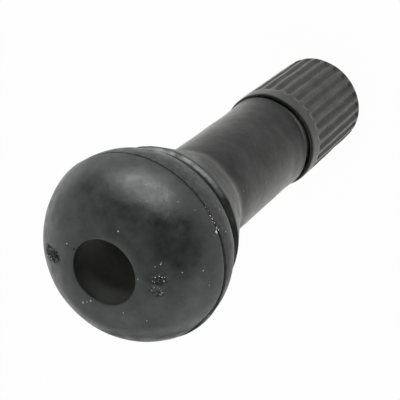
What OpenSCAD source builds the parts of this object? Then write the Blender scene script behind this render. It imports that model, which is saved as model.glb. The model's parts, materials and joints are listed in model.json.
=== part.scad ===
// Snap-in tyre valve: a moulded rubber body bonded round a turned brass stem, a poppet valve core
// inside the stem and a ribbed screw cap over its mouth. The valve stands on the cap's flat end:
// Z is its axis, the cap is at the bottom and the rubber bulb is at the top. Sizes are millimetres.

/* [Dust cap] */
// Length of the cap from its flat end to its rim
cap_len = 11.3; // [10.5:0.1:14]
// Diameter of the plain collar at the rim
cap_d = 10.05; // [9.8:0.05:11]
// Diameter over the ribs at the flat end, before the end is rounded
cap_end_d = 9.5; // [9.4:0.05:9.8]
// Height of the plain collar
collar_h = 1.4; // [1:0.05:2.5]
// Radius of the rounding round the flat end
cap_end_round = 0.5; // [0.4:0.05:1.4]
// Radius of the rounding of the rim's outer edge
cap_rim_round = 0.15; // [0.05:0.05:0.25]
// Thickness of the wall round the open mouth
cap_mouth_wall = 0.3; // [0.3:0.05:0.6]
// Depth of the open mouth below the rim
cap_mouth_h = 1; // [0.5:0.05:1.5]
// Thickness of the cap's roof
cap_roof_t = 1.2; // [1:0.1:2]
// Depth of the plain counterbore at the rim, ahead of the thread
cap_counterbore_h = 2.85; // [2:0.05:4]
// Depth of the counterbore's wall behind the thread
cap_counterbore_step = 0.2; // [0.1:0.05:0.3]
// Number of flutes, and so of ribs
flute_count = 27; // [20:1:30]
// Radius of a flute's round bottom
flute_r = 0.42; // [0.3:0.01:0.5]
// Depth of a flute
flute_depth = 0.27; // [0.15:0.01:0.32]
// Height of the plain rim between the flutes and the flat end
flute_end_rim = 0.3; // [0.2:0.05:1]
// Thickness of the rubber washer in the cap
seal_t = 0.9; // [0.6:0.1:1.5]

/* [Rubber body] */
// Gap that shows between the cap's rim and the sleeve's end
cap_gap = 0.95; // [0.4:0.05:2]
// Largest diameter of the bulb, at its parting line
bulb_d = 19; // [18:0.1:22]
// Height of the dome from the parting line to the face round the bore
dome_h = 5.9; // [5:0.05:8]
// How far the dome keeps to the flat face before it turns over its shoulder
face_reach = 4.75; // [3:0.05:5]
// How far the dome keeps to the upright side before it turns over its shoulder
side_reach = 0.8; // [0.5:0.05:3]
// Step in from the dome to the back of the bulb at the parting line
parting_step = 0.08; // [0.02:0.01:0.2]
// Height of the bulb's back from the rim groove to the parting line
back_h = 4.35; // [3.5:0.05:6]
// Diameter of the bulb's back edge at the rim groove
back_d = 15.65; // [14.5:0.05:16.5]
// Gap between the bulb's back edge and the flare's edge, where the groove opens
groove_gap = 1; // [0.6:0.05:3]
// Height of the rim groove's upright floor
groove_floor_h = 1; // [0.65:0.05:3]
// Diameter of the rim groove's floor
groove_d = 12.2; // [11.6:0.1:13.2]
// Radius of the corners of the groove's floor
groove_fillet = 0.3; // [0.1:0.05:0.3]
// Height of the bevel from the flare's sharp edge in to the groove's floor
flare_bevel_h = 0.9; // [0.5:0.05:1.5]
// Diameter of the flare's sharp edge
flare_d = 15.8; // [14:0.1:16.5]
// Height of the flare from the sleeve to its edge
flare_h = 5.7; // [4:0.1:7]
// Radius of the blend from the sleeve into the flare
flare_blend = 3; // [1:0.1:5]
// Length of the sleeve from its free end to the flare
sleeve_len = 14.3; // [10:0.05:30]
// Diameter of the sleeve at the flare
sleeve_top_d = 10.05; // [9.3:0.05:10.5]
// Diameter of the sleeve at its waist
sleeve_waist_d = 9.45; // [8.8:0.05:9.6]
// Diameter of the sleeve's free end
sleeve_end_d = 9.6; // [9.2:0.05:10]
// Height of the waist above the free end
sleeve_waist_h = 2.4; // [1.5:0.1:5]
// Radius of the blend at the waist
waist_blend = 6; // [2:0.5:10]
// Radius of the rounding of the free end's edge
sleeve_end_round = 0.2; // [0.1:0.05:0.4]
// Clearance round the sleeve's thin tail in the cap's open mouth
tail_clearance = 0.5; // [0.3:0.05:0.6]
// Clearance between the tail's end and the floor of the cap's open mouth
tail_end_clearance = 0.3; // [0.2:0.05:0.6]
// Diameter of the air bore in the bulb
bore_d = 6.6; // [5.5:0.1:7.6]
// Radius of the rounding of the bore's edge
bore_round = 0.1; // [0.1:0.05:0.6]

/* [Brass stem] */
// Outside diameter of the stem's thread
thread_d = 7.7; // [7.6:0.01:7.8]
// Length of thread that runs on under the rubber
thread_embed = 0.8; // [0.4:0.1:2]
// Chamfer round the outside of the mouth
mouth_chamfer = 0.5; // [0.2:0.05:0.6]
// Chamfer that leads into the mouth
mouth_lead = 0.3; // [0.1:0.05:0.4]
// Diameter of the plain shank under the rubber
shank_d = 6.4; // [5.8:0.1:7]
// Diameter of the barbs that grip the rubber
barb_d = 7.2; // [7.1:0.1:7.6]
// Height of one barb
barb_h = 1.2; // [0.8:0.1:2]
// Distance from one barb to the next
barb_pitch = 3.2; // [2.4:0.1:4]
// Number of barbs
barb_count = 3; // [1:1:3]
// Diameter of the foot
foot_d = 9; // [8.4:0.1:9.6]
// Height of the foot's rim
foot_h = 1.2; // [0.8:0.1:2]
// How far the foot ends short of the flare's edge
foot_setback = 0.15; // [0:0.05:1]
// Diameter of the threaded chamber for the core
chamber_d = 5.3; // [5.1:0.05:5.4]
// Length of the threaded chamber from the mouth
chamber_len = 6.6; // [6:0.1:8]
// Diameter of the plain chamber ahead of the core's seat
seat_top_d = 4.9; // [4.6:0.05:5]
// Depth of the core's seat below the mouth
seat_depth = 8.5; // [8.2:0.1:10]
// Length of the cone that the core's gasket seats on
seat_len = 1.9; // [1.6:0.1:2.5]
// Diameter of the air passage below the seat
passage_d = 3.9; // [3.7:0.05:4.1]
// Chamfer at the passage's inner end
passage_chamfer = 0.4; // [0.2:0.05:0.6]

/* [Valve core] */
// How far the pin's tip lies inside the mouth
pin_depth = 0.3; // [0:0.05:0.8]
// How far the plug lies inside the mouth
plug_depth = 1.2; // [1:0.1:1.5]
// Length of the plug without its neck
plug_len = 5.3; // [4.8:0.1:5.5]
// Length of the bridge that the core tool turns
bridge_len = 2; // [1.5:0.1:2.5]
// Thickness of the bridge
bridge_t = 1.9; // [1.6:0.1:2.4]
// Width across the two flats that let air past the plug's thread
plug_flat_w = 4.2; // [3.6:0.1:4.6]
// Diameter of the plug's neck, which the barrel turns on
neck_d = 1.9; // [1.8:0.05:2]
// How far the neck's lip stands out to hold the barrel
neck_lip = 0.13; // [0.1:0.01:0.16]
// Height of the neck below its lip, and of the lip itself
neck_h = 0.35; // [0.3:0.05:0.45]
// Diameter of the spring chamber in the barrel
barrel_bore_d = 2.3; // [2.25:0.05:2.4]
// Outside diameter of the barrel's skirt
skirt_d = 3.8; // [3.4:0.1:4]
// Outside diameter of the barrel under its gasket
barrel_d = 3; // [2.9:0.05:3.2]
// Height of the flange that presses the gasket onto its seat
flange_h = 0.5; // [0.3:0.05:0.7]
// How far the flange lies inside the plain chamber's wall
flange_inset = 0.15; // [0.05:0.05:0.25]
// Length of the gasket
gasket_len = 1.6; // [1.2:0.1:1.8]
// Length of the barrel below the gasket's upper face
barrel_len = 3.7; // [3.2:0.1:4.5]
// Thickness of the barrel's end wall
barrel_floor_t = 0.7; // [0.5:0.05:0.9]
// Diameter of the air hole in the barrel's end wall
barrel_hole_d = 1.5; // [1.4:0.05:1.7]
// Diameter of the two air windows in the barrel's skirt
window_d = 0.7; // [0.5:0.05:0.8]
// Diameter of the pin
pin_d = 1; // [0.9:0.05:1.1]
// Diameter of the pin's collar, which the spring pushes on
pin_collar_d = 1.9; // [1.8:0.05:2]
// Height of the pin's collar
pin_collar_h = 0.4; // [0.3:0.05:0.6]
// Diameter of the pin's riveted end
rivet_d = 1.7; // [1.5:0.05:2]
// Height of the pin's riveted end
rivet_h = 0.45; // [0.3:0.05:0.6]
// Height of the rubber gasket in the cup
cup_gasket_h = 0.9; // [0.7:0.05:1.2]
// Outside diameter of the rubber gasket in the cup
cup_gasket_d = 2.6; // [2.4:0.05:2.8]
// Thickness of the cup's wall and floor
cup_wall = 0.25; // [0.2:0.05:0.3]
// How far the gasket stands out of the cup
cup_gasket_proud = 0.35; // [0.2:0.05:0.5]
// Diameter of the spring's wire
spring_wire_d = 0.24; // [0.2:0.01:0.26]
// Mean diameter of the spring
spring_d = 1.7; // [1.65:0.01:1.75]
// Number of turns of the spring
spring_turns = 5; // [4:0.5:6]

/* [Clearances] */
// Radial clearance between the cap's thread and the stem's
cap_clearance = 0.1; // [0.05:0.01:0.15]
// Radial clearance of the washer in the cap
seal_clearance = 0.1; // [0.05:0.01:0.2]
// Radial clearance between the plug's thread and its chamber
core_clearance = 0.05; // [0.03:0.01:0.08]
// Clearance of the gasket on its cone and of closed seals on their seats
seat_clearance = 0.02; // [0.01:0.01:0.04]
// Radial clearance of the pin in the plug
pin_clearance = 0.08; // [0.05:0.01:0.12]
// Radial and end clearance between the plug's neck and the barrel
swivel_clearance = 0.05; // [0.03:0.01:0.08]
// Radial clearance of the pin in the cup and its gasket
cup_clearance = 0.02; // [0.01:0.01:0.04]

/* [Hidden] */
$fn = 96;

rubber_colour = "#3c3d3c";
cap_colour = "#4a4a47";
brass_colour = "#c9a24b";
steel_colour = "#b9bcc0";
seal_colour = "#202020";
ptfe_colour = "#e6e2d8";

// Steps along each curved stretch of a profile
curve_steps = 16;
corner_steps = 6;

// Heights along the axis, from the cap's flat end up to the bulb's face
seal_z = cap_roof_t;
mouth_z = seal_z + seal_t + seat_clearance;
sleeve_z = cap_len + cap_gap;
flare_z = sleeve_z + sleeve_len;
edge_z = flare_z + flare_h;
groove_z = edge_z + flare_bevel_h;
groove_top_z = groove_z + groove_floor_h;
back_z = edge_z + groove_gap;
parting_z = back_z + back_h;
face_z = parting_z + dome_h;
foot_z = edge_z - foot_setback;

// Radii of the stem
thread_r = thread_d / 2;
shank_r = shank_d / 2;
barb_r = barb_d / 2;
foot_r = foot_d / 2;
thread_end_z = sleeve_z + thread_embed;
foot_cone_h = foot_r - shank_r;
first_barb_z = foot_z - foot_h - foot_cone_h - barb_pitch / 2;

// Heights inside the stem
chamber_z = mouth_z + chamber_len;
seat_z = mouth_z + seat_depth;
seat_slope = (seat_top_d - passage_d) / 2 / seat_len;

// Heights of the core
pin_tip_z = mouth_z + pin_depth;
plug_z = mouth_z + plug_depth;
neck_z = plug_z + plug_len;
barrel_z = neck_z + swivel_clearance;
barrel_lip_h = neck_h - 2 * swivel_clearance;
flange_z = seat_z - flange_h;
barrel_end_z = seat_z + barrel_len;
spring_top_z = barrel_end_z - barrel_floor_t;
window_z = (neck_z + 2 * neck_h + flange_z) / 2;
collar_z = flange_z;
spring_z = collar_z + pin_collar_h;
cup_gasket_z = barrel_end_z + seat_clearance;
cup_floor_z = cup_gasket_z + cup_gasket_h;
rivet_z = cup_floor_z + cup_wall;

// Radii of the core
plug_r = chamber_d / 2 - core_clearance;
neck_r = neck_d / 2;
pin_r = pin_d / 2;
pin_hole_r = pin_r + pin_clearance;
cup_hole_r = pin_r + cup_clearance;
flange_r = seat_top_d / 2 - flange_inset;
cup_r = cup_gasket_d / 2 + cup_clearance + cup_wall;

// The cap's outline, and the sleeve's tail in its mouth
cap_r = cap_d / 2;
cap_bore_r = thread_r + cap_clearance;
cap_mouth_r = cap_r - cap_mouth_wall;
cap_mouth_floor_z = cap_len - cap_mouth_h;
tail_r = cap_mouth_r - tail_clearance;
tail_z = cap_mouth_floor_z + tail_end_clearance;
counterbore_r = cap_bore_r + cap_counterbore_step;
counterbore_z = cap_len - cap_counterbore_h;
flutes_top_z = cap_len - collar_h;
flute_axis_r = cap_r - flute_depth + flute_r;
flute_run = flutes_top_z - flute_end_rim - 2 * flute_r;
flute_tilt = atan((cap_d - cap_end_d) / 2 / flutes_top_z);

// Unit vector along v
function unit(v) = v / norm(v);

// Points of an arc of the given radius that rounds the corner at b on the way from a to c
function round_corner(a, b, c, radius) =
    let (
        u = unit(a - b),
        v = unit(c - b),
        half = acos(u * v) / 2,
        centre = b + unit(u + v) * radius / sin(half),
        start = b + u * radius / tan(half) - centre,
        finish = b + v * radius / tan(half) - centre,
        from = atan2(start[1], start[0]),
        turn = (atan2(finish[1], finish[0]) - from + 900) % 360 - 180
    )
    [for (i = [0:corner_steps])
        let (angle = from + turn * i / corner_steps)
        centre + radius * [cos(angle), sin(angle)]];

// A path of [r, z, rounding] corners, as points with each rounded corner drawn as an arc
function rounded_path(corners) =
    let (last = len(corners) - 1, flat = [for (p = corners) [p[0], p[1]]])
    [for (i = [0:last])
        each (i == 0 || i == last || corners[i][2] == 0
            ? [flat[i]]
            : round_corner(flat[i - 1], flat[i], flat[i + 1], corners[i][2]))];

// Point of the cubic curve with the four control points p, at t from 0 to 1
function cubic(p, t) =
    pow(1 - t, 3) * p[0] + 3 * pow(1 - t, 2) * t * p[1] + 3 * (1 - t) * t * t * p[2] + pow(t, 3) * p[3];

// The dome's curve, from the parting line up and over its shoulder to the edge of the bore
function dome_curve() =
    let (
        side = bulb_d / 2,
        lip = bore_d / 2 + bore_round,
        handles = [
            [side, parting_z],
            [side, parting_z + side_reach],
            [lip + face_reach, face_z],
            [lip, face_z]
        ]
    )
    [for (i = [0:curve_steps]) cubic(handles, i / curve_steps)];

// The bulb's back: one arc that leaves the parting line upright and ends at the back edge
function back_curve() =
    let (
        side = bulb_d / 2 - parting_step,
        inset = side - back_d / 2,
        arc_r = (back_h * back_h + inset * inset) / (2 * inset)
    )
    [for (i = [0:curve_steps])
        let (drop = back_h * (1 - i / curve_steps))
        [side - arc_r + sqrt(arc_r * arc_r - drop * drop), parting_z - drop]];

// The rubber's half section with the stem's place filled in
function rubber_section() =
    let (
        back = back_curve(),
        bore_r = bore_d / 2,
        bore_floor_z = foot_z - foot_h / 2,
        bore_edge = round_corner([bulb_d, face_z], [bore_r, face_z], [bore_r, bore_floor_z], bore_round)
    )
    concat(
        rounded_path([
            [0, tail_z, 0],
            [tail_r, tail_z, 0],
            [tail_r, sleeve_z, 0],
            [sleeve_end_d / 2, sleeve_z, sleeve_end_round],
            [sleeve_waist_d / 2, sleeve_z + sleeve_waist_h, waist_blend],
            [sleeve_top_d / 2, flare_z, flare_blend],
            [flare_d / 2, edge_z, 0],
            [groove_d / 2, groove_z, groove_fillet],
            [groove_d / 2, groove_top_z, groove_fillet],
            [back_d / 2, back_z, 0]
        ]),
        [for (i = [1:curve_steps]) back[i]],
        dome_curve(),
        [for (i = [1:corner_steps]) bore_edge[i]],
        [[bore_r, bore_floor_z], [0, bore_floor_z]]
    );

// The stem's outside, from its mouth to its foot
function stem_outside() = concat(
    [
        [thread_r - mouth_chamfer, mouth_z],
        [thread_r, mouth_z + mouth_chamfer],
        [thread_r, thread_end_z],
        [shank_r, thread_end_z + thread_r - shank_r]
    ],
    [for (i = [barb_count - 1:-1:0])
        let (z = first_barb_z - i * barb_pitch)
        each [[shank_r, z - barb_h], [barb_r, z - barb_h / 2], [barb_r, z], [shank_r, z]]],
    [
        [shank_r, foot_z - foot_h - foot_cone_h],
        [foot_r, foot_z - foot_h],
        [foot_r, foot_z]
    ]
);

// The stem's inside, from its foot back to its mouth
function stem_inside() = [
    [passage_d / 2 + passage_chamfer, foot_z],
    [passage_d / 2, foot_z - passage_chamfer],
    [passage_d / 2, seat_z + seat_len],
    [seat_top_d / 2, seat_z],
    [seat_top_d / 2, chamber_z],
    [chamber_d / 2, chamber_z],
    [chamber_d / 2, mouth_z + mouth_lead],
    [chamber_d / 2 + mouth_lead, mouth_z]
];

// A round bar with a hole through it, standing at height z
module ring(outer_r, inner_r, z, h) {
    translate([0, 0, z])
        difference() {
            cylinder(r = outer_r, h = h);
            translate([0, 0, -h])
                cylinder(r = inner_r, h = 3 * h);
        }
}

// One flute along the cap's taper, with a round end at the collar and at the flat end
module flute() {
    translate([flute_axis_r, 0, flutes_top_z - flute_r])
        rotate([0, flute_tilt, 0]) {
            sphere(r = flute_r, $fn = 32);
            translate([0, 0, -flute_run])
                cylinder(r = flute_r, h = flute_run, $fn = 32);
            translate([0, 0, -flute_run])
                sphere(r = flute_r, $fn = 32);
        }
}

module rubber_body() {
    color(rubber_colour)
        difference() {
            rotate_extrude()
                polygon(rubber_section());
            rotate_extrude()
                polygon(concat([[0, mouth_z]], stem_outside(), [[0, foot_z]]));
        }
}

module brass_stem() {
    color(brass_colour)
        rotate_extrude()
            polygon(concat(stem_outside(), stem_inside()));
}

module dust_cap() {
    color(cap_colour)
        difference() {
            rotate_extrude()
                polygon(rounded_path([
                    [0, 0, 0],
                    [cap_end_d / 2, 0, cap_end_round],
                    [cap_r, flutes_top_z, 0],
                    [cap_r, cap_len, cap_rim_round],
                    [cap_mouth_r, cap_len, 0],
                    [cap_mouth_r, cap_mouth_floor_z, 0],
                    [counterbore_r, cap_mouth_floor_z, 0],
                    [counterbore_r, counterbore_z, 0],
                    [cap_bore_r, counterbore_z - cap_counterbore_step, 0],
                    [cap_bore_r, cap_roof_t, 0],
                    [0, cap_roof_t, 0]
                ]));
            for (i = [0:flute_count - 1])
                rotate((i + 0.5) * 360 / flute_count)
                    flute();
        }
}

module cap_seal() {
    color(seal_colour)
        translate([0, 0, seal_z])
            cylinder(r = cap_bore_r - seal_clearance, h = seal_t);
}

module core_plug() {
    color(brass_colour)
        difference() {
            union() {
                intersection() {
                    translate([0, 0, plug_z])
                        cylinder(r = plug_r, h = plug_len);
                    union() {
                        translate([-plug_r, -bridge_t / 2, plug_z])
                            cube([2 * plug_r, bridge_t, plug_len]);
                        translate([-plug_r, -plug_flat_w / 2, plug_z + bridge_len])
                            cube([2 * plug_r, plug_flat_w, plug_len]);
                    }
                }
                translate([0, 0, neck_z])
                    cylinder(r = neck_r, h = 2 * neck_h);
                translate([0, 0, neck_z + neck_h])
                    cylinder(r = neck_r + neck_lip, h = neck_h);
            }
            translate([0, 0, plug_z - plug_len])
                cylinder(r = pin_hole_r, h = 3 * plug_len);
        }
}

module core_barrel() {
    color(brass_colour)
        difference() {
            rotate_extrude()
                polygon([
                    [neck_r + swivel_clearance, barrel_z],
                    [skirt_d / 2, barrel_z],
                    [skirt_d / 2, flange_z],
                    [flange_r, flange_z],
                    [flange_r, seat_z],
                    [barrel_d / 2, seat_z],
                    [barrel_d / 2, barrel_end_z],
                    [barrel_hole_d / 2, barrel_end_z],
                    [barrel_hole_d / 2, spring_top_z],
                    [barrel_bore_d / 2, spring_top_z],
                    [barrel_bore_d / 2, barrel_z + barrel_lip_h],
                    [neck_r + swivel_clearance, barrel_z + barrel_lip_h]
                ]);
            translate([0, 0, window_z])
                rotate([90, 0, 0])
                    cylinder(d = window_d, h = 2 * skirt_d, center = true);
        }
}

module barrel_gasket() {
    color(ptfe_colour)
        rotate_extrude()
            polygon([
                [barrel_d / 2, seat_z],
                [seat_top_d / 2 - seat_clearance, seat_z],
                [seat_top_d / 2 - seat_clearance - seat_slope * gasket_len, seat_z + gasket_len],
                [barrel_d / 2, seat_z + gasket_len]
            ]);
}

module core_pin() {
    color(steel_colour) {
        translate([0, 0, pin_tip_z])
            cylinder(r = pin_r, h = rivet_z - pin_tip_z);
        translate([0, 0, collar_z])
            cylinder(d = pin_collar_d, h = pin_collar_h);
        translate([0, 0, rivet_z])
            cylinder(d1 = rivet_d, d2 = pin_d, h = rivet_h);
    }
}

// Height of the wire's centre along the spring, closed up over the first and last turn
function spring_height(turn) =
    let (
        closed = spring_wire_d,
        low = spring_z + spring_wire_d / 2,
        high = spring_top_z - spring_wire_d / 2,
        open = (high - low - 2 * closed) / (spring_turns - 2)
    )
    turn < 1 ? low + closed * turn
        : turn > spring_turns - 1 ? high - closed * (spring_turns - turn)
        : low + closed + open * (turn - 1);

module core_spring() {
    sides = 8;
    rings_per_turn = 20;
    rings = spring_turns * rings_per_turn;
    points = [for (i = [0:rings], j = [0:sides - 1])
        let (
            angle = 360 * i / rings_per_turn,
            around = 360 * j / sides,
            r = (spring_d + spring_wire_d * cos(around)) / 2
        )
        [r * cos(angle), r * sin(angle),
         spring_height(i / rings_per_turn) + spring_wire_d / 2 * sin(around)]];
    walls = [for (i = [0:rings - 1], j = [0:sides - 1])
        let (a = i * sides + j, b = i * sides + (j + 1) % sides)
        [a, b, b + sides, a + sides]];
    ends = [[for (j = [sides - 1:-1:0]) j], [for (j = [0:sides - 1]) rings * sides + j]];
    color(steel_colour)
        polyhedron(points, concat(walls, ends));
}

module pin_cup() {
    color(brass_colour)
        difference() {
            translate([0, 0, cup_gasket_z + cup_gasket_proud])
                cylinder(r = cup_r, h = cup_gasket_h - cup_gasket_proud + cup_wall);
            translate([0, 0, cup_gasket_z])
                cylinder(r = cup_r - cup_wall, h = cup_gasket_h);
            translate([0, 0, cup_gasket_z])
                cylinder(r = cup_hole_r, h = 2 * cup_gasket_h);
        }
}

module cup_gasket() {
    color(seal_colour)
        ring(cup_gasket_d / 2, cup_hole_r, cup_gasket_z, cup_gasket_h);
}

rubber_body();
brass_stem();
dust_cap();
cap_seal();
core_plug();
core_barrel();
barrel_gasket();
core_pin();
core_spring();
pin_cup();
cup_gasket();
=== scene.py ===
import json
import math

import bmesh
import bpy
import numpy as np
from mathutils import Matrix, Vector


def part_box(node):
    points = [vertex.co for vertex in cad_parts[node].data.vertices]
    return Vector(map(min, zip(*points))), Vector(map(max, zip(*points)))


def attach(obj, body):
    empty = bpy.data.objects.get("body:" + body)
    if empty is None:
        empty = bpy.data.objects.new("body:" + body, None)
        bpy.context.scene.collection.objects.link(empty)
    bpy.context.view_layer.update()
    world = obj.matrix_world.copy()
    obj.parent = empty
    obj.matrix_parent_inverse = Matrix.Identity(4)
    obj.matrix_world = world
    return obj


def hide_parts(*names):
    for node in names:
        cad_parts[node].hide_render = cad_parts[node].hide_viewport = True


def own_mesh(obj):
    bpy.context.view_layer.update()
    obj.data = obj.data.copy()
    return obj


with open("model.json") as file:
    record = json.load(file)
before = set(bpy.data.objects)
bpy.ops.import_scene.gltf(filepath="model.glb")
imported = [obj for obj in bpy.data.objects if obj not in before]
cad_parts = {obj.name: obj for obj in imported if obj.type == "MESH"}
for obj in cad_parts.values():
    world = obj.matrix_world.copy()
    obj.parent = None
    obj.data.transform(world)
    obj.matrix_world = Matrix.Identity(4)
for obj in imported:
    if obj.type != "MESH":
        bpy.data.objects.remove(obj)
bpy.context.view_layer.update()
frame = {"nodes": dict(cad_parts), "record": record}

# Lengths are in millimetres, with heights along the valve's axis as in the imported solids, and MM
# turns them into Blender's metres. Angles round the axis are in degrees from +X.
MM = 0.001

# A length that counts as none, and one that lies past everything
TOUCH = 1e-6
FAR_AWAY = 99.0

# How finely curves are drawn: points on a rounded corner, steps of the dome's curve and the back's arc
ARC_POINTS = 7
DOME_STEPS = 80
BACK_STEPS = 60

rng = np.random.default_rng(41)


# Sizes taken from the frame

def span_mm(node):
    """Lowest height, highest height and outer radius of a solid."""
    low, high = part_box(node)
    return low.z / MM, high.z / MM, high.x / MM


TAIL_Z, FACE_Z, BULB_R = span_mm("rubber_body")
BULB_LIMIT = min(BULB_R, -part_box("rubber_body")[0].x / MM, -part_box("rubber_body")[0].y / MM)
MOUTH_Z, FOOT_Z, FOOT_R = span_mm("brass_stem")
CAP_END_Z, CAP_RIM_Z, CAP_R = span_mm("dust_cap")
SPRING_LOW_Z, SPRING_HIGH_Z, _ = span_mm("core_spring")

# Rubber body
DOME_H = 5.9
FACE_REACH = 4.75
SIDE_REACH = 0.8
PARTING_STEP = 0.08
BACK_H = 4.35
BACK_R = 7.825
GROOVE_GAP = 1.0
GROOVE_R = 6.1
GROOVE_FLOOR_H = 1.0
GROOVE_FILLET = 0.3
FLARE_R = 7.9
FLARE_H = 5.7
FLARE_BEVEL_H = 0.9
FLARE_CHAMFER_H = 0.72
FLARE_CHAMFER_W = 0.32
FLARE_EDGE_ROUND = 0.08
BACK_EDGE_INSET = 0.2
BACK_EDGE_RISE = 0.25
BACK_EDGE_ROUND = 0.1
BACK_EDGE_BLEND = 0.7
FLARE_BLEND = 3.0
SLEEVE_TOP_R = 5.025
SLEEVE_WAIST_R = 4.725
SLEEVE_WAIST_H = 2.4
SLEEVE_END_R = 4.8
SLEEVE_END_ROUND = 0.2
WAIST_BLEND = 6.0
BORE_R = 3.3
BORE_ROUND = 0.1
CAP_GAP = 0.95

SLEEVE_Z = CAP_RIM_Z + CAP_GAP
PARTING_Z = FACE_Z - DOME_H
BACK_Z = PARTING_Z - BACK_H
EDGE_Z = BACK_Z - GROOVE_GAP
GROOVE_Z = EDGE_Z + FLARE_BEVEL_H
GROOVE_TOP_Z = GROOVE_Z + GROOVE_FLOOR_H
FLARE_Z = EDGE_Z - FLARE_H

# Brass stem
THREAD_R = 3.85
THREAD_PITCH = 25.4 / 32
THREAD_DEPTH = 0.42
THREAD_ROOT_SHARE = 0.14
THREAD_FLANK_SHARE = 0.72
THREAD_FADE_GAP = 0.1
THREAD_FADE = 0.5
THREAD_COVERED = 0.8
THREAD_END_Z = SLEEVE_Z + THREAD_COVERED
MOUTH_CHAMFER = 0.5
MOUTH_LEAD = 0.3
SHANK_R = 3.2
FOOT_H = 1.2
CHAMBER_R = 2.65
CHAMBER_LEN = 6.6
SEAT_TOP_R = 2.45
SEAT_DEPTH = 8.5
SEAT_LEN = 1.9
PASSAGE_R = 1.95
PASSAGE_CHAMFER = 0.4
# The stem is painted dark from this far below the rubber's tail, as shade in the gap and in the bore
SHADE_BELOW_TAIL = 1.3

# Dust cap
CAP_END_R = 4.75
CAP_END_ROUND = 0.5
CAP_RIM_ROUND = 0.15
CAP_MOUTH_WALL = 0.3
CAP_MOUTH_R = CAP_R - CAP_MOUTH_WALL
CAP_MOUTH_H = 1.0
TAIL_CLEARANCE = 0.5
TAIL_R = CAP_MOUTH_R - TAIL_CLEARANCE
CAP_ROOF_T = 1.2
CAP_BORE_R = 3.95
CAP_THREAD_DEPTH = 0.3
CAP_COUNTERBORE_H = 2.85
CAP_COUNTERBORE_STEP = 0.2
COLLAR_H = 1.4
FLUTE_COUNT = 27
FLUTE_R = 0.42
FLUTE_DEPTH = 0.27
FLUTE_END_RIM = 0.3
FLUTES_TOP_Z = CAP_RIM_Z - COLLAR_H
RIB_ROUND = 0.08
RIBBED_FROM_R = CAP_END_R - 1.2
CAP_POLE_R = 0.2

# Valve core. The spring shortens by a little more than the pin's travel, so the two never touch.
SPRING_R = 0.85
SPRING_WIRE_D = 0.24
SPRING_TURNS = 5


# Profiles

def round_corner(a, b, c, radius):
    """Arc points that round the corner at b on the way from a to c."""
    a, b, c = (np.asarray(p, float) for p in (a, b, c))
    u = (a - b) / np.linalg.norm(a - b)
    v = (c - b) / np.linalg.norm(c - b)
    half = math.acos(float(u @ v)) / 2
    middle = (u + v) / np.linalg.norm(u + v)
    centre = b + middle * radius / math.sin(half)
    start = b + u * radius / math.tan(half) - centre
    finish = b + v * radius / math.tan(half) - centre
    begin = math.atan2(start[1], start[0])
    turn = (math.atan2(finish[1], finish[0]) - begin + math.pi) % (2 * math.pi) - math.pi
    angles = begin + turn * np.linspace(0, 1, ARC_POINTS)
    return centre + radius * np.stack([np.cos(angles), np.sin(angles)], 1)


def rounded_path(corners):
    """Points of a path of (r, z, rounding) corners."""
    flat = [np.array(p[:2], float) for p in corners]
    out = []
    for i, (corner, point) in enumerate(zip(corners, flat)):
        if i in (0, len(flat) - 1) or not corner[2]:
            out.append(point[None])
        else:
            out.append(round_corner(flat[i - 1], point, flat[i + 1], corner[2]))
    return np.vstack(out)


def cubic(handles, steps):
    """Points of a cubic curve with four control points."""
    p = np.array(handles, float)
    t = np.linspace(0, 1, steps + 1)[:, None]
    return (1 - t) ** 3 * p[0] + 3 * (1 - t) ** 2 * t * p[1] + 3 * (1 - t) * t ** 2 * p[2] + t ** 3 * p[3]


def dome_path():
    """From the parting line over the shoulder to the edge of the bore."""
    lip = BORE_R + BORE_ROUND
    side = [(BULB_R, PARTING_Z), (BULB_R, PARTING_Z + SIDE_REACH)]
    return cubic(side + [(lip + FACE_REACH, FACE_Z), (lip, FACE_Z)], DOME_STEPS)


def back_path():
    """The bulb's back, one arc from its edge at the groove up to the parting line."""
    side = BULB_R - PARTING_STEP
    inset = side - BACK_R
    arc_r = (BACK_H ** 2 + inset ** 2) / (2 * inset)
    drop = np.linspace(BACK_H, 0, BACK_STEPS + 1)
    return np.stack([side - arc_r + np.sqrt(arc_r ** 2 - drop ** 2), PARTING_Z - drop], 1)


def stem_outside_path():
    """The stem's outside under the rubber, from the tail's end to the foot."""
    return np.array([
        (THREAD_R, TAIL_Z),
        (THREAD_R, THREAD_END_Z),
        (SHANK_R, THREAD_END_Z + THREAD_R - SHANK_R),
        (SHANK_R, FOOT_Z - FOOT_H - FOOT_R + SHANK_R),
        (FOOT_R, FOOT_Z - FOOT_H),
        (FOOT_R, FOOT_Z),
    ])


def resample(path, spacing):
    """The path's points, spaced evenly at about the given distance."""
    steps = np.linalg.norm(np.diff(path, axis=0), axis=1)
    along = np.concatenate([[0], np.cumsum(steps)])
    count = max(2, int(round(along[-1] / spacing)) + 1)
    at = np.linspace(0, along[-1], count)
    return np.stack([np.interp(at, along, path[:, i]) for i in (0, 1)], 1)


def labelled(*stretches):
    """One path from (zone, points) stretches that meet end to end, and the zone of each point."""
    points = np.vstack([path for _, path in stretches])
    zones = np.concatenate([[zone] * len(path) for zone, path in stretches])
    keep = np.concatenate([[True], np.linalg.norm(np.diff(points, axis=0), axis=1) > TOUCH])
    return points[keep], zones[keep]


def joined(*stretches):
    """One path from stretches that meet end to end, with no point twice."""
    return labelled(*(("", path) for path in stretches))[0]


# Meshes

# Slowest and quickest waves of smooth_noise, beside the pace of the wavelength that is asked for
PACES = (0.7, 1.4)


def smooth_noise(points, wavelength, count=24):
    """A smooth random field over points, about -1 to 1, from waves of about one wavelength."""
    total = np.zeros(points.shape[:-1])
    for _ in range(count):
        direction = rng.normal(size=3)
        direction /= np.linalg.norm(direction)
        pace = rng.uniform(*PACES) * 2 * math.pi / wavelength
        total += np.cos(points @ direction * pace + rng.uniform(0, 2 * math.pi))
    return total / math.sqrt(count / 2) / 2


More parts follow.
